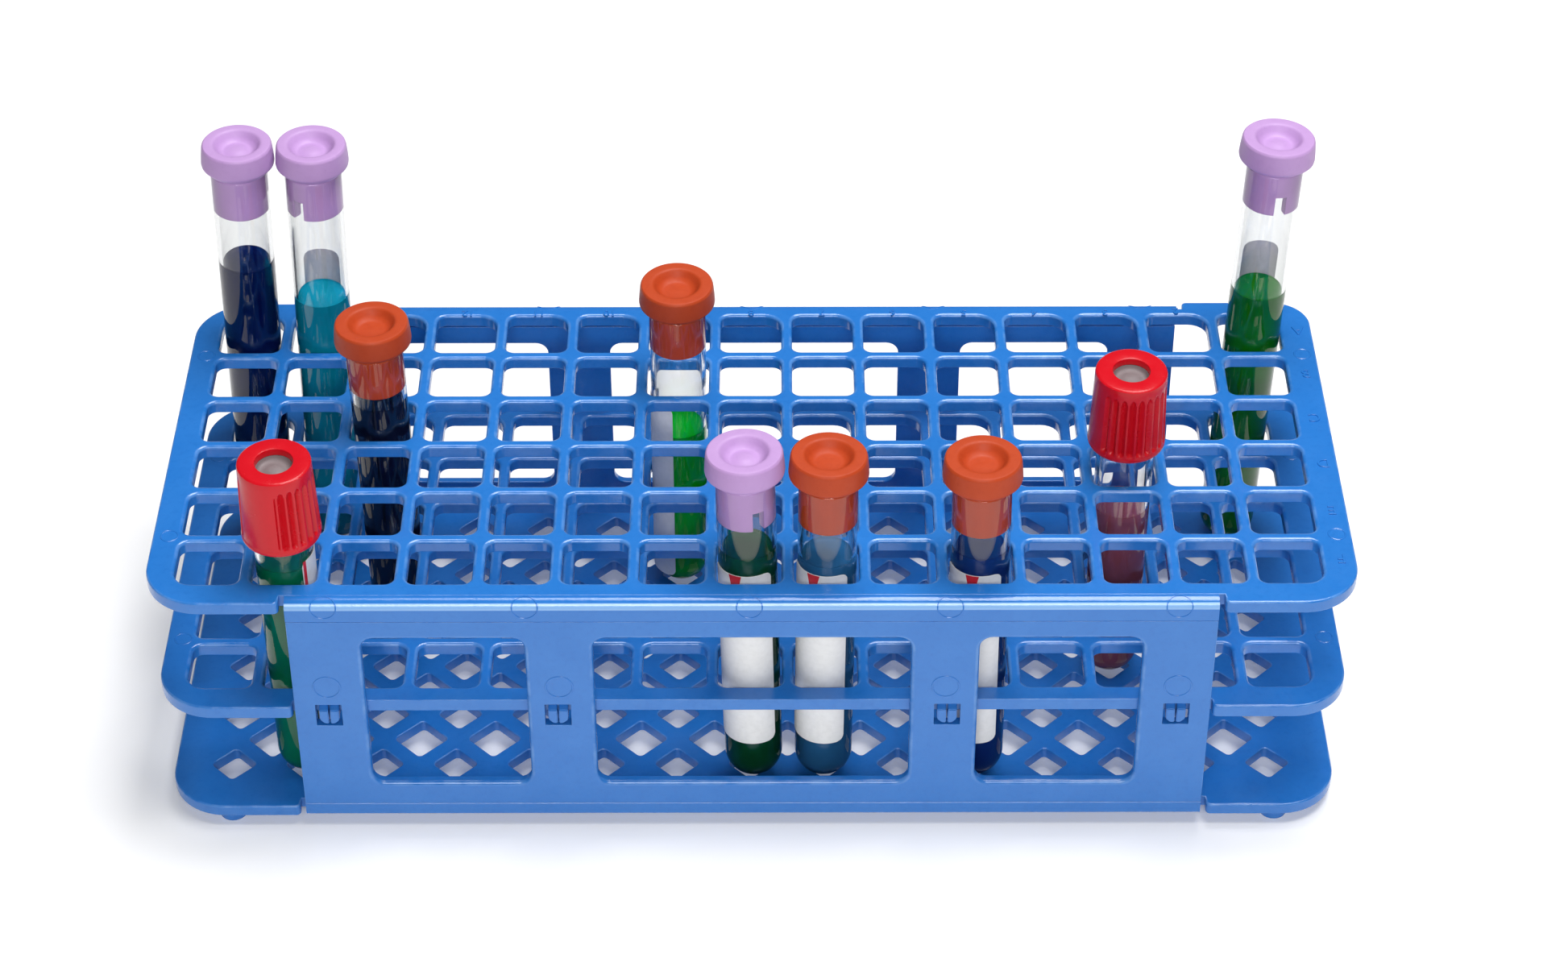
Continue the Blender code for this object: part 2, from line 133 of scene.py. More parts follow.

# Well: kind of stopper, its widest radius, glass length, liquid level, name of the liquid, its colour
# as linear red, green and blue, and the turn of the stopper in degrees. Lengths are in mm.
TUBES = {
    "A15": ("lavender", 7.75, 100, 76, "liquid_navy", (0.001, 0.006, 0.07), 5),
    "A14": ("lavender", 7.75, 100, 67, "liquid_teal", (0.002, 0.28, 0.42), 238),
    "A1": ("lavender", 8.1, 100.5, 68, "liquid_leaf_green", (0.004, 0.16, 0.004), 283),
    "B9": ("orange", 8.1, 75, 43, "liquid_bottle_green", (0.001, 0.46, 0.002), 90),
    "C13": ("orange", 8.1, 75.7, 62, "liquid_black_blue", (0.004, 0.005, 0.022), 90),
    "D3": ("red", 8.1, 73.6, 46, "liquid_dusky_pink", (0.38, 0.10, 0.14), 185),
    "F14": ("red", 8.1, 75, 58, "liquid_emerald", (0.001, 0.17, 0.07), 240),
    "F8": ("lavender", 8.1, 77.6, 60, "liquid_bottle_green", (0.003, 0.055, 0.016), 297),
    "F7": ("orange", 8.1, 76.7, 58, "liquid_steel_blue", (0.02, 0.11, 0.26), 90),
    "F5": ("orange", 8.1, 75.9, 60, "liquid_ink_blue", (0.005, 0.022, 0.15), 90),
}

# Label: first and last angle in degrees from +X, bottom and top in mm, and its red mark, which is
# the angle of a wedge at its top, a stripe up its first edge, or none
LABELS = {
    "A14": (42, 138, 32, 75.5, None),
    "A1": (42, 138, 32, 77, None),
    "B9": (150, 258, 4, 52, None),
    "F14": (312, 430, 10, 60.5, "stripe"),
    "F8": (180, 319, 12, 56.8, 245),
    "F7": (180, 311, 12, 56.8, 242),
    "F5": (180, 311, 12, 56.8, 252),
}


def levels(node):
    low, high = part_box(node)
    return low.z, high.z


# ---------------------------------------------------------------- outlines


def arc(x, y, radius, start, end, steps=6):
    turns = [math.radians(start + (end - start) * i / steps) for i in range(steps + 1)]
    return [Vector((x + radius * math.cos(t), y + radius * math.sin(t))) for t in turns]


def rounded_box(left, right, low, high, radii, steps=6):
    """An anticlockwise rectangle with rounded corners, radii given from the low left one."""
    a, b, c, d = radii
    return (
        arc(left + a, low + a, a, 180, 270, steps)
        + arc(right - b, low + b, b, 270, 360, steps)
        + arc(right - c, high - c, c, 0, 90, steps)
        + arc(left + d, high - d, d, 90, 180, steps)
    )


def offset(loop, distances):
    """Each point of a loop moved to the left of its direction of travel."""
    moved = []
    for i, point in enumerate(loop):
        before, after = point - loop[i - 1], loop[(i + 1) % len(loop)] - point
        bisector = Vector((-before.y, before.x)).normalized() + Vector((-after.y, after.x)).normalized()
        moved.append(point + bisector * (2 * distances[i] / bisector.length_squared))
    return moved


def well_centre(column, row):
    """Column counted from the left and row from the rear, both from 0."""
    x = GRID_CENTRE[0] + (column - (COLUMNS - 1) / 2) * PITCH
    return x, GRID_CENTRE[1] + ((len(ROWS) - 1) / 2 - row) * PITCH


def well_loop(column, row):
    x, y = well_centre(column, row)
    radii = [WELL_CORNER] * 4
    if row == 0:
        radii[2] = WIDE_CORNER
        radii[3] = WIDE_CORNER if column == 0 else WELL_CORNER
    if row == len(ROWS) - 1:
        radii[0] = WIDE_CORNER if column == 0 else WELL_CORNER
        radii[1] = WIDE_CORNER if column == COLUMNS - 1 else WELL_CORNER
    return rounded_box(x - WELL_HALF, x + WELL_HALF, y - WELL_HALF, y + WELL_HALF, radii)


def drain_loop(x, y, half):
    side = half / math.sqrt(2)
    turn = Matrix.Rotation(math.pi / 4, 2)
    square = rounded_box(-side, side, -side, side, [DRAIN_CORNER] * 4, 4)
    return [turn @ point + Vector((x, y)) for point in square]


def plate_outline(node, recess_half, recess_depth):
    """Outline of a plate with its two panel recesses, and how far each of its corners is rounded."""
    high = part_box(node)[1]
    x, y, r = high.x, high.y, LIP_CORNER
    points, rounds = [], []

    def extend(more, rounding):
        points.extend(more)
        rounds.extend([rounding] * len(more))

    for flip, corners in ((1, ((1, -1, 270), (1, 1, 0))), (-1, ((-1, 1, 90), (-1, -1, 180)))):
        inner = -flip * (y - recess_depth)
        first, last = (180, 90) if flip > 0 else (0, 270)
        extend([Vector((-flip * recess_half, inner)), Vector((flip * recess_half, inner))], SEAM_ROUND)
        extend(arc(flip * (recess_half + r), -flip * (y - r), r, first, first + 90, 4), LIP_ROUND)
        for sx, sy, start in corners:
            radius = KEY_CORNER_RADIUS if sx > 0 and sy > 0 else CORNER_RADIUS
            extend(arc(sx * (x - radius), sy * (y - radius), radius, start, start + 90, 16), LIP_ROUND)
        extend(arc(flip * (recess_half + r), flip * (y - r), r, last, last + 90, 4), LIP_ROUND)
    return points, rounds


# ---------------------------------------------------------------- meshes


def sheet(loops, bottom, top):
    """A flat solid with rounded edges, from (points, side, top rounds, bottom round) loops.

    side is 1 for the outline and -1 for a hole. Its attribute for the painted edge highlight is 1 on the
    rounding of the top edges, slight where that rounding ends and below it, and 0 on the flat faces.
    """
    shape = bmesh.new()
    edge_highlight = shape.verts.layers.float.new("edge_highlight")
    caps = ([], [])
    steps = 4
    for points, side, rounds, low_round in loops:
        rows = []
        for i in range(steps + 1):
            turn = math.pi / 2 * i / steps
            share = 1 - math.sin(turn)
            height = bottom + low_round * (1 - math.cos(turn))
            rows.append(([low_round * share] * len(points), height, SLIGHT_EDGE_HIGHLIGHT))
        for i in range(steps + 1):
            turn = math.pi / 2 * i / steps
            insets = [r * (1 - math.cos(turn)) for r in rounds]
            rows.append((insets, None, 1.0 if 0 < i < steps else SLIGHT_EDGE_HIGHLIGHT))
        rows.insert(0, ([low_round + EDGE_MARGIN] * len(points), bottom, 0))
        rows.append(([r + EDGE_MARGIN for r in rounds], None, 0))
        rings = []
        for k, (insets, height, highlit) in enumerate(rows):
            moved = offset(points, [side * inset for inset in insets])
            ring = []
            for i, point in enumerate(moved):
                z = height
                if z is None:
                    turn = math.pi / 2 * min(k - steps - 2, steps) / steps
                    z = top - rounds[i] * (1 - math.sin(turn))
                vertex = shape.verts.new((point.x, point.y, z))
                vertex[edge_highlight] = highlit
                ring.append(vertex)
            rings.append(ring)
        for below, above in zip(rings, rings[1:]):
            for i in range(len(points)):
                j = (i + 1) % len(points)
                shape.faces.new((below[i], below[j], above[j], above[i]))
        for cap, ring in ((caps[0], rings[0]), (caps[1], rings[-1])):
            cap += [shape.edges.get((ring[i - 1], ring[i])) for i in range(len(ring))]
    for cap in caps:
        bmesh.ops.triangle_fill(shape, edges=cap, use_beauty=True)
    return shape


def hole(points, top_round, low_round=UNDER_ROUND):
    return points, -1, [top_round] * len(points), low_round


def turned(profile, sides=SIDES, shaping=None):
    """A surface turned about Z from (radius, height) points. shaping may change (angle, radius, height)."""
    shape = bmesh.new()
    rings = []
    for radius, height in profile:
        if radius == 0:
            rings.append([shape.verts.new((0, 0, height))])
            continue
        ring = []
        for i in range(sides):
            turn = 2 * math.pi * i / sides
            r = shaping(turn, radius, height) if shaping else radius
            ring.append(shape.verts.new((r * math.cos(turn), r * math.sin(turn), height)))
        rings.append(ring)
    for low, high in zip(rings, rings[1:]):
        for i in range(sides):
            j = (i + 1) % sides
            corners = [low[i % len(low)], low[j % len(low)], high[j % len(high)], high[i % len(high)]]
            shape.faces.new(list(dict.fromkeys(corners)))
    return shape


def from_mm(points, datum):
    """(radius, height) points given in mm, their heights above a datum in metres, as metres."""
    return [(radius * MM, datum + height * MM) for radius, height in points]


def curve_through(points, steps=4):
    """A smooth run of points through the given (radius, height) points."""
    ends = [points[0], *points, points[-1]]
    run = []
    for a, b, c, d in zip(ends, ends[1:], ends[2:], ends[3:]):
        for i in range(steps):
            t = i / steps
            run.append(tuple(
                0.5 * (2 * q + (r - p) * t + (2 * p - 5 * q + 4 * r - s) * t * t
                       + (3 * q - p - 3 * r + s) * t ** 3)
                for p, q, r, s in zip(a, b, c, d)
            ))
    return run + [points[-1]]


def extruded(profile, half_length, side, pale=()):
    """A closed (distance out, height) outline drawn along X, on the side's edge of the rack.

    The points whose indices are in pale get 1 in the attribute for the painted highlight on the bend.
    """
    shape = bmesh.new()
    bend_highlight = shape.verts.layers.float.new("bend_highlight")
    ends = []
    for x in (-half_length, half_length):
        ends.append([shape.verts.new((x, side * out, height)) for out, height in profile])
        for i in pale:
            ends[-1][i][bend_highlight] = 1
    for i in range(len(profile)):
        j = (i + 1) % len(profile)
        shape.faces.new((ends[0][i], ends[0][j], ends[1][j], ends[1][i]))
    for end in ends:
        shape.faces.new(end)
    return shape


def add(name, shape, surface, body, replaced=(), placed=Matrix(), angle=32):
    """Turn a bmesh into a finished piece that rides on a body."""
    bmesh.ops.recalc_face_normals(shape, faces=shape.faces[:])
    mesh = bpy.data.meshes.new(name)
    shape.to_mesh(mesh)
    shape.free()
    mesh.shade_smooth()
    mesh.set_sharp_from_angle(angle=math.radians(angle))
    mesh.materials.append(surface)
    piece = bpy.data.objects.new(name, mesh)
    piece.matrix_world = placed
    bpy.context.scene.collection.objects.link(piece)
    even = piece.modifiers.new("even shading", "WEIGHTED_NORMAL")
    even.keep_sharp = True
    even.weight = 100
    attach(piece, body)
    if replaced:
        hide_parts(*replaced)
    return piece


# ---------------------------------------------------------------- materials


def new_material(name):
    made = bpy.data.materials.new(name)
    made.use_nodes = True
    return made, made.node_tree, made.node_tree.nodes["Principled BSDF"]


def noise_mask(tree, scale, low, high, detail=3.0):
    """A mask that rises from 0 to 1 as a noise with that many cells a metre goes from low to high."""
    place = tree.nodes.new("ShaderNodeTexCoord")
    noise = tree.nodes.new("ShaderNodeTexNoise")
    noise.inputs["Scale"].default_value = scale
    noise.inputs["Detail"].default_value = detail
    spread = tree.nodes.new("ShaderNodeMapRange")
    spread.inputs["From Min"].default_value = low
    spread.inputs["From Max"].default_value = high
    tree.links.new(place.outputs["Object"], noise.inputs["Vector"])
    tree.links.new(noise.outputs["Fac"], spread.inputs["Value"])
    return spread.outputs["Result"]


def mixed(tree, first, second, mask, share=1.0):
    """Colour that goes from first to second as mask rises, by at most share."""
    scaled = tree.nodes.new("ShaderNodeMath")
    scaled.operation = "MULTIPLY"
    scaled.inputs[1].default_value = share
    tree.links.new(mask, scaled.inputs[0])
    mix = tree.nodes.new("ShaderNodeMix")
    mix.data_type = "RGBA"
    tree.links.new(scaled.outputs[0], mix.inputs["Factor"])
    for socket, colour in ((mix.inputs["A"], first), (mix.inputs["B"], second)):
        if isinstance(colour, tuple):
            socket.default_value = (*colour, 1)
        else:
            tree.links.new(colour, socket)
    return mix.outputs["Result"]


def ranged(tree, mask, low, high):
    spread = tree.nodes.new("ShaderNodeMapRange")
    spread.inputs["To Min"].default_value = low
    spread.inputs["To Max"].default_value = high
    tree.links.new(mask, spread.inputs["Value"])
    return spread.outputs["Result"]


def bumped(tree, shader, height, distance, strength=1.0):
    bump = tree.nodes.new("ShaderNodeBump")
    bump.inputs["Distance"].default_value = distance
    bump.inputs["Strength"].default_value = strength
    tree.links.new(height, bump.inputs["Height"])
    tree.links.new(bump.outputs["Normal"], shader.inputs["Normal"])


def moulded(name, base, light, dark, roughness, grain, gloss, edge_highlight_share=0.0):
    """Moulded plastic or rubber: cloudy colour, dark specks, uneven gloss and a fine grain.

    roughness is its lowest and highest, grain the cells a metre, and gloss the specular level.
    The last argument is how far rounded edges go to a paler blue as a painted highlight, and the painted
    highlight on the top bend goes further.
    """
    made, tree, shader = new_material(name)
    shader.inputs["Specular IOR Level"].default_value = gloss
    colour = mixed(tree, base, light, noise_mask(tree, 120, 0.35, 0.7), 0.5)
    colour = mixed(tree, colour, dark, noise_mask(tree, 700, 0.5, 0.75), 0.2)
    colour = mixed(tree, colour, dark, noise_mask(tree, 2600, 0.66, 0.72), 0.3)
    # Painted highlight: rounded edges go patchily to a paler blue
    if edge_highlight_share:
        highlit = tree.nodes.new("ShaderNodeAttribute")
        highlit.attribute_name = "edge_highlight"
        patchy = tree.nodes.new("ShaderNodeMath")
        patchy.operation = "MULTIPLY"
        tree.links.new(highlit.outputs["Fac"], patchy.inputs[0])
        tree.links.new(noise_mask(tree, 260, 0.38, 0.62), patchy.inputs[1])
        colour = mixed(tree, colour, EDGE_HIGHLIGHT_BLUE, patchy.outputs[0], edge_highlight_share)
        # Painted highlight: the top bend goes further to a paler blue
        bend_highlight_node = tree.nodes.new("ShaderNodeAttribute")
        bend_highlight_node.attribute_name = "bend_highlight"
        colour = mixed(tree, colour, BEND_HIGHLIGHT_BLUE, bend_highlight_node.outputs["Fac"], 0.62)
    tree.links.new(colour, shader.inputs["Base Color"])
    tree.links.new(ranged(tree, noise_mask(tree, 400, 0.3, 0.7), *roughness), shader.inputs["Roughness"])
    bumped(tree, shader, noise_mask(tree, grain, 0.2, 0.8, 4), 0.03 * MM, 0.5)
    return made


def clear_glass():
    made, tree, shader = new_material("clear borosilicate glass")
    shader.inputs["Transmission Weight"].default_value = 1.0
    shader.inputs["IOR"].default_value = 1.47
    shader.inputs["Specular IOR Level"].default_value = 0.15
    tint_and_edge_shade = mixed(tree, (0.935, 0.94, 0.938), (0.91, 0.915, 0.913), noise_mask(tree, 90, 0.4, 0.7))
    # Painted shade: the glass goes darker towards its silhouette
    grazing = tree.nodes.new("ShaderNodeLayerWeight")
    grazing.inputs["Blend"].default_value = 0.25
    tint_and_edge_shade = mixed(tree, tint_and_edge_shade, (0.35, 0.37, 0.38), grazing.outputs["Facing"], 0.9)
    tree.links.new(tint_and_edge_shade, shader.inputs["Base Color"])
    smear = noise_mask(tree, 160, 0.5, 0.8)
    tree.links.new(ranged(tree, smear, 0.0, 0.05), shader.inputs["Roughness"])
    let_lamps_through(tree, shader, 0.93)
    return made


def let_lamps_through(tree, shader, share):
    """Lamps shine through the glass onto what it holds, instead of stopping at it."""
    path = tree.nodes.new("ShaderNodeLightPath")
    clear = tree.nodes.new("ShaderNodeBsdfTransparent")
    clear.inputs["Color"].default_value = (share, share, share, 1)
    mix = tree.nodes.new("ShaderNodeMixShader")
    output = next(node for node in tree.nodes if node.type == "OUTPUT_MATERIAL")
    tree.links.new(path.outputs["Is Shadow Ray"], mix.inputs[0])
    tree.links.new(shader.outputs["BSDF"], mix.inputs[1])
    tree.links.new(clear.outputs["BSDF"], mix.inputs[2])
    tree.links.new(mix.outputs["Shader"], output.inputs["Surface"])


def dyed_liquid(name, colour, clear):
    made, tree, shader = new_material(name)
    shader.inputs["Transmission Weight"].default_value = clear
    shader.inputs["IOR"].default_value = 1.34
    shader.inputs["Specular IOR Level"].default_value = 0.06
    deep = tuple(0.75 * part for part in colour)
    tree.links.new(mixed(tree, colour, deep, noise_mask(tree, 70, 0.35, 0.65)), shader.inputs["Base Color"])
    tree.links.new(ranged(tree, noise_mask(tree, 200, 0.3, 0.7), 0.03, 0.08), shader.inputs["Roughness"])
    return made


def paper(name, base, dark):
    made, tree, shader = new_material(name)
    tree.links.new(mixed(tree, base, dark, noise_mask(tree, 900, 0.4, 0.7), 0.5), shader.inputs["Base Color"])
    tree.links.new(ranged(tree, noise_mask(tree, 500, 0.3, 0.7), 0.45, 0.6), shader.inputs["Roughness"])
    bumped(tree, shader, noise_mask(tree, 5000, 0.2, 0.8), 0.01 * MM, 0.4)
    return made


# Paler blue painted on rounded edges as their highlight
EDGE_HIGHLIGHT_BLUE = (0.32, 0.55, 0.86)
# Paler blue painted on the top bend as its highlight
BEND_HIGHLIGHT_BLUE = (0.36, 0.6, 0.9)
# Its last number is how far rounded edges go to the painted highlight
RACK_BLUE = moulded(
    "blue polypropylene", (0.016, 0.165, 0.54), (0.026, 0.19, 0.58), (0.006, 0.11, 0.42),
    (0.15, 0.24), 1500, 0.65, 0.2
)
LAVENDER = moulded(
    "lavender rubber", (0.47, 0.28, 0.57), (0.51, 0.32, 0.61), (0.38, 0.22, 0.48), (0.42, 0.55), 1800, 0.4
)
ORANGE = moulded(
    "orange rubber", (0.44, 0.052, 0.012), (0.49, 0.064, 0.016), (0.32, 0.03, 0.007),
    (0.42, 0.55), 1600, 0.25
)
RED = moulded(
    "red cap plastic", (0.56, 0.004, 0.012), (0.60, 0.006, 0.015), (0.45, 0.002, 0.007),
    (0.2, 0.28), 1500, 0.32
)
GREY = moulded(
    "grey rubber", (0.20, 0.165, 0.17), (0.25, 0.215, 0.22), (0.12, 0.10, 0.10), (0.45, 0.6), 1800, 0.4
)
GLASS = clear_glass()
PAPER = paper("label paper", (0.80, 0.80, 0.79), (0.70, 0.70, 0.69))
# Painted shade: a darker copy of the paper for the label's inner face, its unlit side seen through the glass
SHADED_LABEL_BACK = paper("label back with painted shade", (0.40, 0.38, 0.43), (0.34, 0.32, 0.37))
STOPPERS = {"lavender": (LAVENDER, 0.7), "orange": (ORANGE, 0.1)}
RED_INK = paper("red print", (0.62, 0.015, 0.03), (0.50, 0.01, 0.02))


# ---------------------------------------------------------------- rack


def all_wells():
    return [
        hole(well_loop(column, row), BAR_ROUND)
        for row in range(len(ROWS))
        for column in range(COLUMNS)
    ]


def add_plates():
    panel_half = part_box("front_panel")[1].x
    bottom, top = levels("top_plate")
    points, rounds = plate_outline("top_plate", panel_half + NOTCH, HINGE_DEPTH)
    plate = sheet([(points, 1, rounds, UNDER_ROUND), *all_wells()], bottom, top)
    add("fine_top_plate", plate, RACK_BLUE, "rack", ["top_plate"])

    top = levels("middle_shelf")[1]
    points, rounds = plate_outline("middle_shelf", panel_half + NOTCH / 2, SHELF_RECESS)
    shelf = sheet([(points, 1, rounds, UNDER_ROUND), *all_wells()], top - SHELF_THICKNESS, top)
    add_prongs(shelf)
    add("fine_middle_shelf", shelf, RACK_BLUE, "rack", ["middle_shelf"])

    top = levels("bottom_plate")[1]
    bottom = top - BASE_THICKNESS
    drains = [
        hole(drain_loop(*well_centre(column, row), SMALL_DRAIN), DRAIN_ROUND)
        for row in range(len(ROWS))
        for column in range(COLUMNS)
    ]
    drains += [
        hole(drain_loop(*well_centre(column + 0.5, row + 0.5), LARGE_DRAIN), DRAIN_ROUND)
        for row in range(len(ROWS) - 1)
        for column in range(COLUMNS - 1)
    ]
    points, rounds = plate_outline("bottom_plate", panel_half + NOTCH, HINGE_DEPTH)
    plate = sheet([(points, 1, rounds, UNDER_ROUND), *drains], bottom, top)
    add_feet(plate, bottom)
    add("fine_bottom_plate", plate, RACK_BLUE, "rack", ["bottom_plate"])


def add_feet(plate, bottom):
    top = bottom + 1 * MM
    foot = [*from_mm([(0, 0), (2.6, 0), (2.9, 0.1), (3, 0.4)], 0), (FOOT_RADIUS, top), (0, top)]
    for x in (-FOOT_X, FOOT_X):
        for y in (-FOOT_Y, FOOT_Y):
            shape = turned(foot, 24)
            bmesh.ops.translate(shape, verts=shape.verts[:], vec=(x, y, 0))
            merge(plate, shape)


def merge(target, shape):
    """Move the faces of one bmesh into another."""
    mesh = bpy.data.meshes.new("merged")
    shape.to_mesh(mesh)
    shape.free()
    target.from_mesh(mesh)
    bpy.data.meshes.remove(mesh)


def add_prongs(shelf):
    """Split snap tongues with a sloping top and cut lower corners, one pair for each panel slot."""
    near, cut = PRONG_GAP, PRONG_CUT
    far = PRONG_WIDTH + near
    profile = [(near * 0.5, PRONG_LOW), (far - cut, PRONG_LOW), (far, PRONG_LOW + cut)]
    back = [*profile, (far, PRONG_HIGH), (near, PRONG_HIGH)]
    front = [*profile, (far, PRONG_HIGH - PRONG_SLOPE), (near, PRONG_HIGH - PRONG_SLOPE)]
    reach = -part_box("front_panel")[0].y - 0.2 * MM
    for x in SLOT_PLACES:
        for lean in (-1, 1):
            for side in (-1, 1):
                shape = bmesh.new()
                for outline, y in ((back, reach - 1.1 * MM), (back, reach - 4 * MM), (front, reach)):
                    for px, pz in outline:
                        shape.verts.new((x + lean * px, side * y, pz))
                bmesh.ops.convex_hull(shape, input=shape.verts[:])
                bmesh.ops.dissolve_limit(shape, angle_limit=0.02, verts=shape.verts[:], edges=shape.edges[:])
                bmesh.ops.bevel(shape, geom=shape.edges[:], offset=0.18 * MM, segments=2, affect="EDGES")
                merge(shelf, shape)


def add_panels():
    for name, side in (("front", -1), ("rear", 1)):
        low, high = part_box(f"{name}_panel")
        half, thickness = high.x, high.y - low.y
        bottom, top = levels(f"{name}_bottom_hinge")[1], levels(f"{name}_top_hinge")[0]
        edge = rounded_box(-half, half, bottom, top, [0.2 * MM] * 4, 2)
        loops = [(edge, 1, [SEAM_ROUND] * len(edge), 0.1 * MM)]
        for left, right in WINDOWS:
            window = rounded_box(left, right, WINDOW_LOW, WINDOW_HIGH, [WINDOW_CORNER] * 4)
            loops.append(hole(window, WINDOW_ROUND))
        for x in SLOT_PLACES:
            slot = rounded_box(x - SLOT_HALF, x + SLOT_HALF, SLOT_LOW, SLOT_HIGH, [0.15 * MM] * 4, 2)
            loops.append(hole(slot, 0.1 * MM, 0.1 * MM))
        shape = sheet(loops, 0, thickness)
        inner = low.y + thickness if side < 0 else low.y
        upright = Matrix.Rotation(math.pi / 2, 4, "X")
        if side > 0:
            upright = Matrix.Rotation(math.pi, 4, "Z") @ upright
        shape.transform(Matrix.Translation((0, inner, 0)) @ upright)
        add(f"fine_{name}_panel", shape, RACK_BLUE, "rack", [f"{name}_panel"])


def add_hinges():
    """The two thin strips at each long edge, bent round from the plate to the panel."""
    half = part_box("front_panel")[1].x
    outer, s = CAD_BOX[1][1], SEAM_ROUND
    inner, back = outer - HINGE_DEPTH, outer - HINGE_STEP
    for name, side in (("front", -1), ("rear", 1)):
        for edge, up, bend in (("top", 1, TOP_BEND), ("bottom", -1, BOTTOM_BEND)):
            node = f"{name}_{edge}_hinge"
            low, high = levels(node)
            face, seam = (high, low) if up > 0 else (low, high)
            bow = arc(outer - bend, face - up * bend, bend, 90 * up, 0, 18)
            profile = [(inner, face - up * s), (inner + s, face), *[tuple(p) for p in bow]]
            profile += [(outer, seam + up * s), (outer - s, seam), (back, seam)]
            profile += [(back, face - up * 2 * MM), (inner, face - up * 1.5 * MM)]
            # Only the top bend gets the painted highlight
            shape = extruded(profile, half, side, BEND_HIGHLIGHT_STEPS if up > 0 else ())
            add(f"fine_{node}", shape, RACK_BLUE, "rack", [node])


def add_marks():
    """Moulded letters, numbers and ejector-pin rings."""
    shape = bmesh.new()
    top, shelf = levels("top_plate")[1], levels("middle_shelf")[1]
    turned_round = Matrix.Rotation(math.pi, 4, "Z")
    for row, letter in enumerate(ROWS):
        y = well_centre(0, row)[1] + 0.6 * MM
        place_text(shape, letter, Matrix.Translation((120 * MM, y, top)) @ turned_round, 3.9 * MM)
    for number in range(1, COLUMNS + 1):
        x = well_centre(COLUMNS - number, 0)[0]
        y = 48.1 * MM if number in (1, 2, 14, 15) else 47.6 * MM
        place_text(shape, str(number), Matrix.Translation((x, y, top)) @ turned_round, 2.9 * MM)
    for x in (-119.5 * MM, 120 * MM):
        for y in (-30 * MM, 32 * MM):
            for z in (top, shelf):
                place_ring(shape, Matrix.Translation((x, y, z)), 1.75 * MM)
    flat = Matrix.Rotation(math.pi / 2, 4, "X")
    for side in (-1, 1):
        for x in PIN_RING_PLACES:
            place_ring(shape, Matrix.Translation((x, side * CAD_BOX[1][1], 38.9 * MM)) @ flat, 2.75 * MM)
        for x in BEND_RING_PLACES:
            drape_ring(shape, x, side, top, 2.6 * MM)
    add("moulded_marks", shape, RACK_BLUE, "rack")


def bend_point(along, side, outer, top):
    """A point of the top bend and its outward direction, along being the way up from the bend's start."""
    turn = min(max(along / TOP_BEND, 0), math.pi / 2)
    past = along - turn * TOP_BEND
    out, up, rise = TOP_BEND * math.cos(turn), TOP_BEND * math.sin(turn), 0
    if turn > 0:
        out -= past
    else:
        rise = past
    outward = Vector((0, side * math.cos(turn), math.sin(turn)))
    return Vector((0, side * (outer - TOP_BEND + out), top - TOP_BEND + up + rise)), outward


def drape_ring(shape, x, side, top, radius, middle=0.82 * MM, width=0.16 * MM, rise=0.12 * MM, steps=64):
    """A low raised ring that follows the bend, its middle that far along from the bend's start."""
    rings = []
    for i in range(steps):
        turn = 2 * math.pi * i / steps
        section = []
        for reach, lift in ((-width, -0.4), (-width / 2, 1), (width / 2, 1), (width, -0.4)):
            r = radius + reach
            point, outward = bend_point(middle + r * math.sin(turn), side, CAD_BOX[1][1], top)
            point += outward * (rise * lift) + Vector((x + r * math.cos(turn), 0, 0))
            section.append(shape.verts.new(point))
        rings.append(section)
    for i, here in enumerate(rings):
        there = rings[(i + 1) % steps]
        for k in range(4):
            shape.faces.new((here[k], here[(k + 1) % 4], there[(k + 1) % 4], there[k]))


def place_ring(shape, placed, radius, wire=0.2 * MM):
    """A low raised ring on a surface whose outward direction is the placed frame's Z."""
    turns = [math.pi * i / 4 for i in range(8)]
    section = [(radius + wire * math.cos(t), 0.7 * wire * math.sin(t)) for t in turns]
    ring = turned([*section, section[0]], 40)
    bmesh.ops.remove_doubles(ring, verts=ring.verts[:], dist=0.002 * MM)
    ring.transform(placed)
    merge(shape, ring)


def place_text(shape, text, placed, size):
    words = bpy.data.curves.new("mark", "FONT")
    words.body = text
    words.size = size
    words.align_x, words.align_y = "CENTER", "CENTER"
    words.extrude = 0.16 * MM
    words.bevel_depth = 0.06 * MM
    words.offset = -0.03 * MM
    words.resolution_u = 3
    holder = bpy.data.objects.new("mark", words)
    bpy.context.scene.collection.objects.link(holder)
    bpy.context.view_layer.update()
    mesh = bpy.data.meshes.new_from_object(holder)
    mesh.transform(placed)
    shape.from_mesh(mesh)
    bpy.data.objects.remove(holder)
    bpy.data.meshes.remove(mesh)


# ---------------------------------------------------------------- tubes


def tube_frame(well):
    """A tube's own frame: the outside of its round end, with Z up its axis, as its lift joint says."""
    joint = next(j for j in frame["joints"] if j["name"] == f"tube_{well}_lift")
    axis = Vector(joint["axis"])
    axis /= axis.z
    row, column = ROWS.index(well[0]), COLUMNS - int(well[1:])
    x, y = well_centre(column, row)
    base = Vector((x, y, LEAN_PIVOT)) + axis * (TUBE_BASE - LEAN_PIVOT)
    return Matrix.Translation(base) @ Vector((0, 0, 1)).rotation_difference(axis).to_matrix().to_4x4()


def round_end(radius, bottom, steps=12):
    turns = [math.pi / 2 * i / steps for i in range(steps + 1)]
    return [(radius * math.sin(t), bottom + radius * (1 - math.cos(t))) for t in turns]


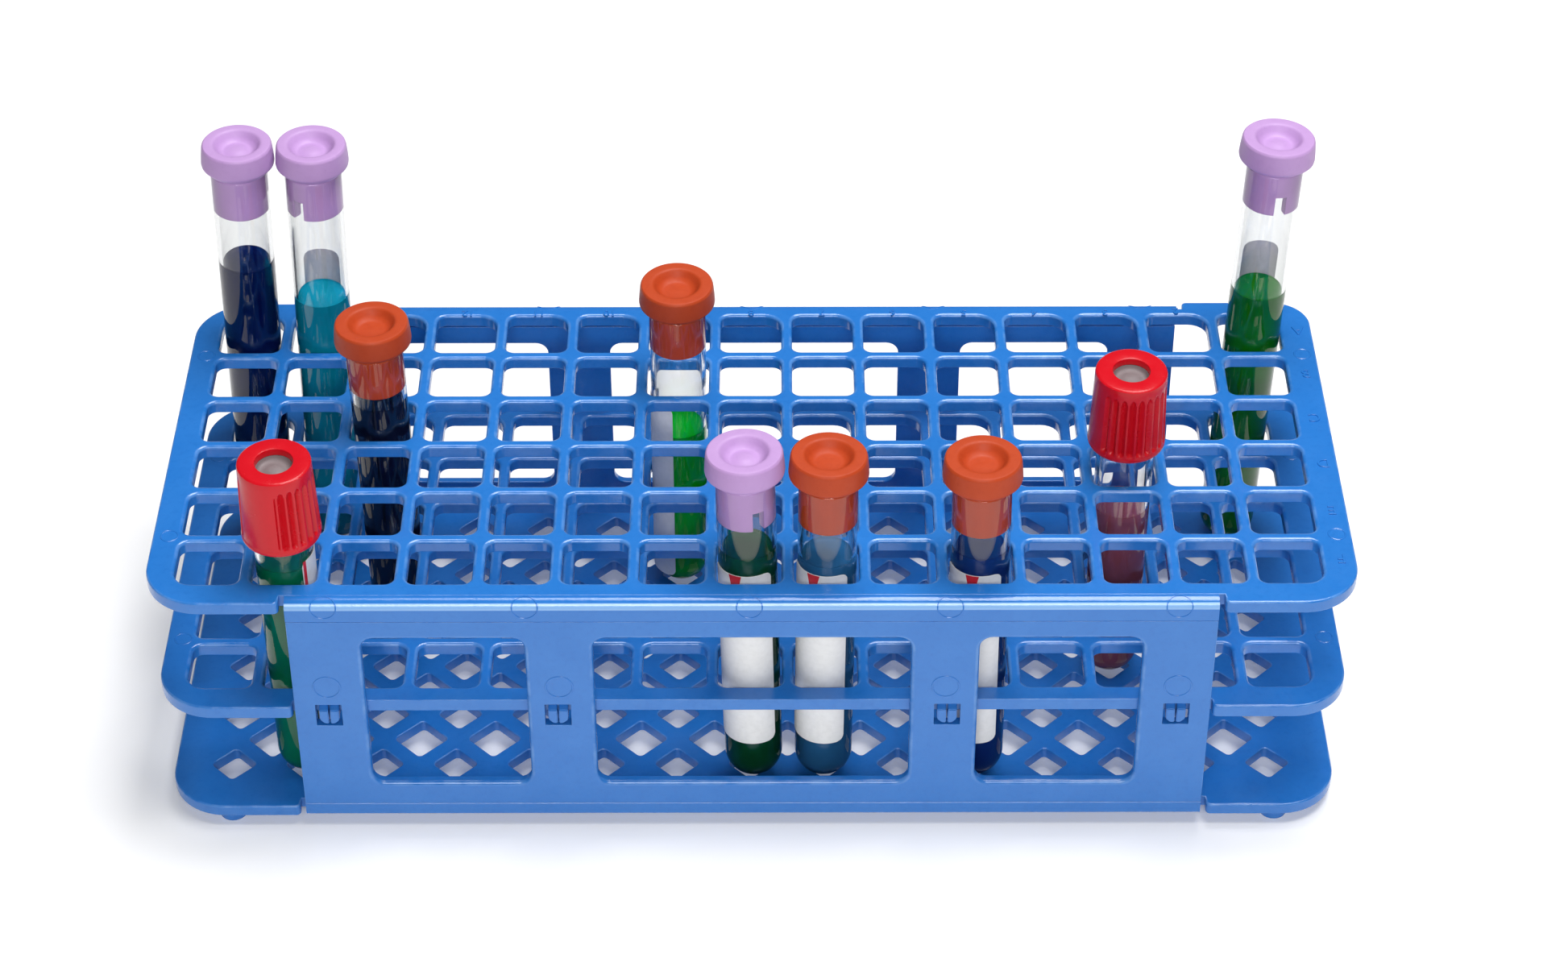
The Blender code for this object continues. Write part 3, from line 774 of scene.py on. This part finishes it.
def glass_shape(length):
    lip = [(GLASS_RADIUS - 0.5 * MM + 0.5 * MM * math.cos(t), length - 0.5 * MM + 0.5 * MM * math.sin(t))
           for t in [math.pi * i / 8 for i in range(9)]]
    inside = round_end(BORE, GLASS_RADIUS - BORE)
    return turned([*round_end(GLASS_RADIUS, 0), *lip, *reversed(inside)])


def liquid_shape(level):
    """Fills the bore, with a meniscus climbing the glass."""
    radius = BORE + 0.02 * MM
    bottom = round_end(radius, GLASS_RADIUS - BORE - 0.02 * MM)
    climb = ((1, 0.7), (0.97, 0.4), (0.9, 0.12), (0.78, 0), (0, 0))
    surface = [(share * radius, level + rise * MM) for share, rise in climb]
    return turned([*bottom, *surface])


def stopper_shape(rim, radius, angle, dome):
    """A hollow plug with one notch, under a collar whose top is dished, round a dome.

    radius is the collar's widest and dome its rise, both in mm. rim is the glass's rim, in metres.
    """
    plug, cavity = PLUG_RADIUS / MM, 3.5
    foot, top = rim - PLUG_LENGTH, rim + COLLAR_HEIGHT
    profile = [
        *from_mm([(0, -4), (cavity - 0.4, -4), (cavity, -4.4)], rim),
        *from_mm([(cavity, 0.3), (cavity + 0.3, 0), (plug - 0.4, 0), (plug - 0.1, 0.15), (plug, 0.5)], foot),
        *from_mm([(plug, -0.6), (plug + 0.1, 0.05), (6.3, 0.05), (6.6, 0.15), (radius - 0.35, 1.1)], rim),
        *from_mm([(radius - 0.08, 1.4), (radius, 1.85), (radius - 0.1, 3.45)], rim),
        *from_mm([(radius - 0.3, -0.75), (radius - 0.4, -0.35), (radius - 0.65, -0.08)], top),
        *from_mm([(radius - 0.95, 0), (5.7, 0)], top),
        *curve_through(from_mm([
            (5.2, -0.04), (4.9, -0.25), (4.5, -0.75), (3.9, -1.5), (3.1, -2), (2.2, -2.1 + 0.35 * dome),
            (1.1, -2.15 + 0.85 * dome), (0, -2.15 + dome),
        ], top)),
    ]
    shape = turned(profile, 96)
    return notched(shape, angle, foot)


def notched(shape, angle, foot):
    """Cut a notch out of the plug's wall, open at its foot."""
    cutter = bmesh.new()
    low = Vector((1.5 * MM, -PLUG_NOTCH_WIDTH / 2, foot - 1 * MM))
    high = Vector((8 * MM, PLUG_NOTCH_WIDTH / 2, foot + PLUG_NOTCH_HEIGHT))
    size = Matrix.Diagonal((*(high - low), 1))
    bmesh.ops.create_cube(cutter, size=1, matrix=Matrix.Translation((low + high) / 2) @ size)
    cutter.transform(Matrix.Rotation(math.radians(angle), 4, "Z"))
    objects = []
    for name, part in (("plug", shape), ("notch", cutter)):
        bmesh.ops.recalc_face_normals(part, faces=part.faces[:])
        mesh = bpy.data.meshes.new(name)
        part.to_mesh(mesh)
        part.free()
        holder = bpy.data.objects.new(name, mesh)
        bpy.context.scene.collection.objects.link(holder)
        objects.append(holder)
    cut = objects[0].modifiers.new("notch", "BOOLEAN")
    cut.operation, cut.solver, cut.object = "DIFFERENCE", "EXACT", objects[1]
    graph = bpy.context.evaluated_depsgraph_get()
    made = bmesh.new()
    made.from_object(objects[0], graph)
    for holder in objects:
        bpy.data.objects.remove(holder)
    return made


def cap_shape(rim, angle):
    """A fluted cap with a smooth band at its top, a smooth panel on one side and an eye in its top."""
    bottom = rim - CAP_OVERLAP
    top = bottom + CAP_HEIGHT
    facing = math.radians(angle)

    def shaping(turn, radius, height):
        away = abs((turn - facing + math.pi) % (2 * math.pi) - math.pi)
        if radius < 7 * MM or away < SMOOTH_PANEL_HALF:
            return radius
        across = abs((turn * FLUTES / (2 * math.pi)) % 1 - 0.5) * 2
        start, end = bottom + 1.5 * MM, top - (2.4 + 2.2 * across ** 2) * MM
        rise = min(1, max(0, (height - start) / (0.6 * MM)))
        fall = min(1, max(0, (end - height) / (0.5 * MM)))
        groove = max(0, 1 - across * 1.45) ** 0.6
        return radius - FLUTE_DEPTH * groove * min(rise, fall)

    wall = [(8.0 * MM - 0.5 * MM * i / 60, bottom + 1.3 * MM + (15.2 * MM) * i / 60) for i in range(61)]
    profile = [
        *from_mm([(6.3, 0.5), (7.2, 0.05), (7.6, 0), (7.95, 0.15), (8.1, 0.5), (8.1, 0.95)], bottom),
        *wall,
        *from_mm([(7.47, -0.7), (7.38, -0.3), (7.1, -0.06), (6.9, 0), (4.2, 0), (3.9, -0.08)], top),
        *from_mm([(3.75, -0.35), (3.7, -1.45), (6.3, -1.5)], top),
    ]
    shape = turned([*profile, profile[0]], FLUTES * 10, shaping)
    bmesh.ops.remove_doubles(shape, verts=shape.verts[:], dist=0.001 * MM)
    return shape


def cap_plug_shape(rim):
    """A grey plug with a hollow foot, up to the eye of its cap, where its top is dished."""
    ceiling = rim - CAP_OVERLAP + CAP_HEIGHT - 1.55 * MM
    plug = PLUG_RADIUS / MM
    profile = [
        *from_mm([(0, -7), (2.6, -7), (3, -7.4)], rim),
        *from_mm([(3, 0.2), (3.3, 0), (plug - 0.4, 0), (plug, 0.4)], rim - PLUG_LENGTH),
        *from_mm([(plug, 0.05), (5.7, 0.05)], rim),
        *from_mm([(5.7, -0.05), (3.75, 0)], ceiling),
        *curve_through(from_mm([(3.65, 0), (3.3, -0.75), (2.4, -0.9), (1.2, -0.5), (0, -0.35)], ceiling)),
    ]
    return turned(profile)


def wrapped(rows, radius, thickness, across=28):
    """A thin sheet wrapped round a tube, its inner face in the second material.

    Each row is (height, first angle, last angle) in degrees.
    """
    shape = bmesh.new()
    layers = []
    for r in (radius, radius + thickness):
        layers.append([
            [
                shape.verts.new((r * math.cos(t), r * math.sin(t), height))
                for t in [math.radians(first + (last - first) * i / across) for i in range(across + 1)]
            ]
            for height, first, last in rows
        ])
    for side, layer in enumerate(layers):
        for here, there in zip(layer, layer[1:]):
            for i in range(across):
                face = shape.faces.new((here[i], here[i + 1], there[i + 1], there[i]))
                face.material_index = 1 - side
    near, far = [
        grid[0] + [row[-1] for row in grid[1:-1]] + grid[-1][::-1] + [row[0] for row in grid[-2:0:-1]]
        for grid in layers
    ]
    for i in range(len(near)):
        j = (i + 1) % len(near)
        shape.faces.new((near[i], near[j], far[j], far[i]))
    return shape


def label_rows(first, last, bottom, top, corner=1.6 * MM):
    rows = []
    heights = [bottom + corner * i / 6 for i in range(7)]
    heights += [bottom + corner + (top - bottom - 2 * corner) * i / 10 for i in range(1, 10)]
    heights += [top - corner + corner * i / 6 for i in range(7)]
    for height in heights:
        depth = max(0, corner - (height - bottom), corner - (top - height))
        inset = corner - math.sqrt(max(0, corner * corner - depth * depth))
        swing = math.degrees(inset / GLASS_RADIUS)
        rows.append((height, first + swing, last - swing))
    return rows


def add_tubes():
    for well, (kind, radius, length, level, liquid, colour, turn) in TUBES.items():
        placed = tube_frame(well)
        tube, rim = f"tube_{well}", length * MM + STAND_OFF
        dye = dyed_liquid(f"{liquid} in {well}", colour, 0.15)
        parts = [
            ("glass", glass_shape(length * MM), GLASS, tube, "clear_glass"),
            ("liquid", liquid_shape(level * MM), dye, tube, liquid),
        ]
        if kind == "red":
            parts += [
                ("cap", cap_shape(rim, turn), RED, f"cap_{well}", "red_cap_plastic"),
                ("plug", cap_plug_shape(rim), GREY, f"cap_{well}", "grey_rubber"),
            ]
        else:
            rubber, dome = STOPPERS[kind]
            shape = stopper_shape(rim, radius, turn, dome)
            parts.append(("stopper", shape, rubber, f"stopper_{well}", f"{kind}_rubber"))
        for part, shape, surface, body, slot in parts:
            add(f"{tube}_fine_{part}", shape, surface, body, [f"{tube}_{part}"], placed)
        if well in LABELS:
            add_label(well, placed)


def add_label(well, placed):
    first, last, bottom, top, mark = LABELS[well]
    bottom, top = bottom * MM, top * MM
    body, skin = f"tube_{well}", GLASS_RADIUS + 0.03 * MM
    paper_shape = wrapped(label_rows(first, last, bottom, top), skin, 0.12 * MM)
    label = add(f"{body}_fine_label", paper_shape, PAPER, body, [f"{body}_label"], placed)
    # The inner face gets the paper with painted shade
    label.data.materials.append(SHADED_LABEL_BACK)
    if mark is None:
        return
    if mark == "stripe":
        rows = [(bottom + (top - bottom) * i / 12, first + 2, first + 9) for i in range(13)]
    else:
        rows = [(top - 0.05 * MM - 3.2 * MM * i / 6, mark - 13 + i, mark + 13 - i) for i in range(6, -1, -1)]
    red = wrapped(rows, skin + 0.122 * MM, 0.02 * MM, 8)
    piece = add(f"{body}_print", red, RED_INK, body, (), placed)
    piece.data.materials.append(RED_INK)


# ---------------------------------------------------------------- stage


def add_stage():
    shape = bmesh.new()
    bmesh.ops.create_grid(shape, x_segments=1, y_segments=1, size=3)
    mesh = bpy.data.meshes.new("floor")
    shape.to_mesh(mesh)
    shape.free()
    floor = bpy.data.objects.new("floor", mesh)
    bpy.context.scene.collection.objects.link(floor)
    made, tree, shader = new_material("white table")
    white = mixed(tree, (0.9, 0.9, 0.9), (0.88, 0.88, 0.88), noise_mask(tree, 20, 0.4, 0.6))
    tree.links.new(white, shader.inputs["Base Color"])
    shader.inputs["Roughness"].default_value = 0.9
    shader.inputs["Emission Color"].default_value = (1, 1, 1, 1)
    shader.inputs["Emission Strength"].default_value = 0.12
    mesh.materials.append(made)


def add_area(name, place, target, size, power):
    light = bpy.data.lights.new(name, "AREA")
    light.shape = "RECTANGLE"
    light.size, light.size_y = size
    light.energy = power
    lamp = bpy.data.objects.new(name, light)
    lamp.location = place
    lamp.rotation_euler = (Vector(target) - Vector(place)).to_track_quat("-Z", "Y").to_euler()
    bpy.context.scene.collection.objects.link(lamp)


def add_lights():
    scene = bpy.context.scene
    scene.view_settings.view_transform = "Standard"
    world = bpy.data.worlds.new("studio")
    world.use_nodes = True
    sky = world.node_tree.nodes["Background"]
    sky.inputs["Color"].default_value = (1, 1, 1, 1)
    sky.inputs["Strength"].default_value = 0.1
    scene.world = world
    add_area("overhead_softbox", (0.2, 0.12, 1.1), (0, 0, 0.03), (0.8, 0.6), 14.5)
    add_area("front_softbox", (0, -0.9, 0.66), (0, 0, 0.05), (0.55, 0.34), 5.5)


def add_camera():
    data = bpy.data.cameras.new("camera")
    data.sensor_width = 36
    data.lens = 82.9
    data.clip_start = 0.05
    camera = bpy.data.objects.new("camera", data)
    camera.location = (0.005, -0.6024, 0.5318)
    camera.rotation_euler = (math.radians(90 - 38.525), 0, math.radians(-0.151))
    bpy.context.scene.collection.objects.link(camera)
    bpy.context.scene.camera = camera


add_camera()
add_lights()
add_stage()
add_plates()
add_panels()
add_hinges()
add_marks()
add_tubes()
